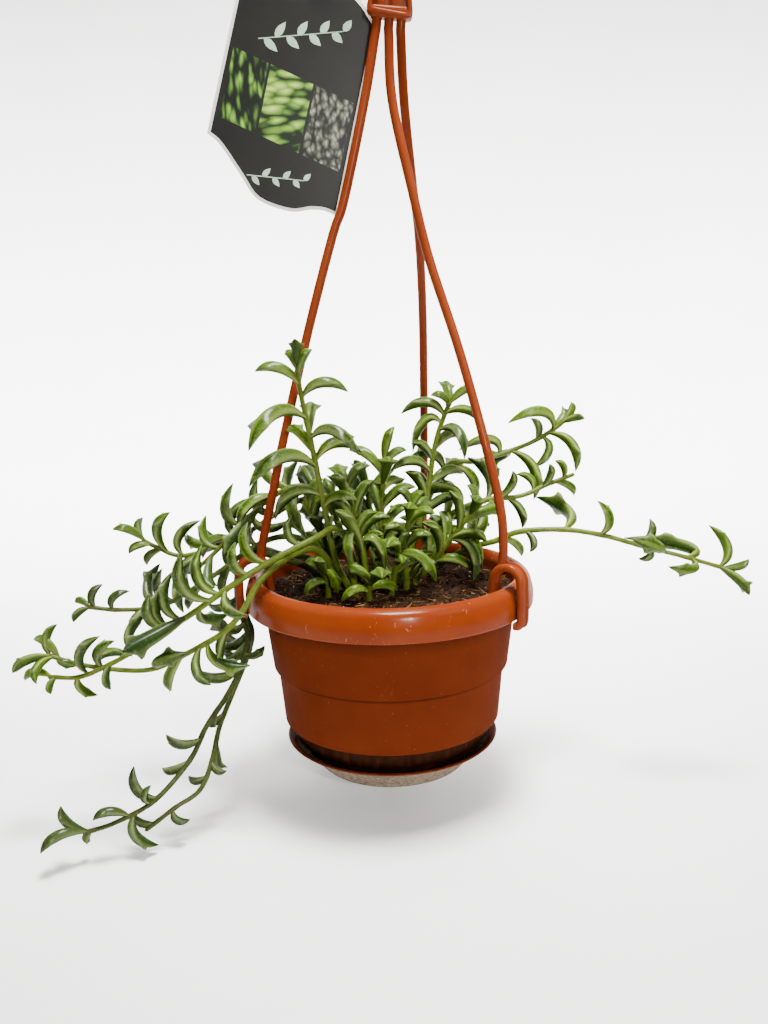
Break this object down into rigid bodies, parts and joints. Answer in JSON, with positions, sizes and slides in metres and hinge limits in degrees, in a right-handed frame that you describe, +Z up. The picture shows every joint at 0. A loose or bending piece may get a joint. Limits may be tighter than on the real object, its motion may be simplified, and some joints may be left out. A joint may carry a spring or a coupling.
{
  "type": "potted string of dolphins",
  "caption": "Trailing succulent with arched, finned leaves in a round hanging pot with a clip-on saucer, a rod hanger with a hook, and a plain plant label.",
  "frame": {"origin": "seat of the hook: the inside top of the hook, where it rests on what it hangs from", "axes": "+Z up, +X to the right of someone facing the label, +Y away from them"},
  "size_m": [0.2878, 0.1458, 0.365],
  "materials": {
    "pot_plastic": "moulded polypropylene, satin, glossier on the rolled rim",
    "saucer_plastic": "moulded polypropylene with a whitish lime film on the lower side",
    "hanger_plastic": "moulded polypropylene, low gloss",
    "potting_soil": "damp peat and bark with fibres and grit",
    "leaf": "fleshy, waxy, satin, with a paler window stripe",
    "label_card": "coated card with a plain printed pattern",
    "clear_tie": "thin translucent plastic loop"
  },
  "bodies": {
    "root": {"pot": "pot_plastic", "saucer": "saucer_plastic", "soil": "potting_soil", "hanger_head": "hanger_plastic", "strap_left": "hanger_plastic", "strap_right": "hanger_plastic", "strap_back": "hanger_plastic", "tag": "label_card", "tag_tie": "clear_tie", "stem_upright": "leaf", "stem_left_long": "leaf", "stem_left_front": "leaf", "stem_left_loop": "leaf", "stem_left_back": "leaf", "stem_left_low": "leaf", "stem_trail_long": "leaf", "stem_trail_short": "leaf", "stem_right_long": "leaf", "stem_right_high": "leaf", "stem_right_mid": "leaf", "stem_centre_tall": "leaf", "crown_stem_1": "leaf", "crown_stem_2": "leaf", "crown_stem_3": "leaf", "crown_stem_4": "leaf", "crown_stem_5": "leaf", "crown_stem_6": "leaf", "crown_stem_7": "leaf", "crown_stem_8": "leaf", "back_stem_1": "leaf", "back_stem_2": "leaf", "sprout_left": "leaf", "sprout_front": "leaf"}
  },
  "joints": []
}
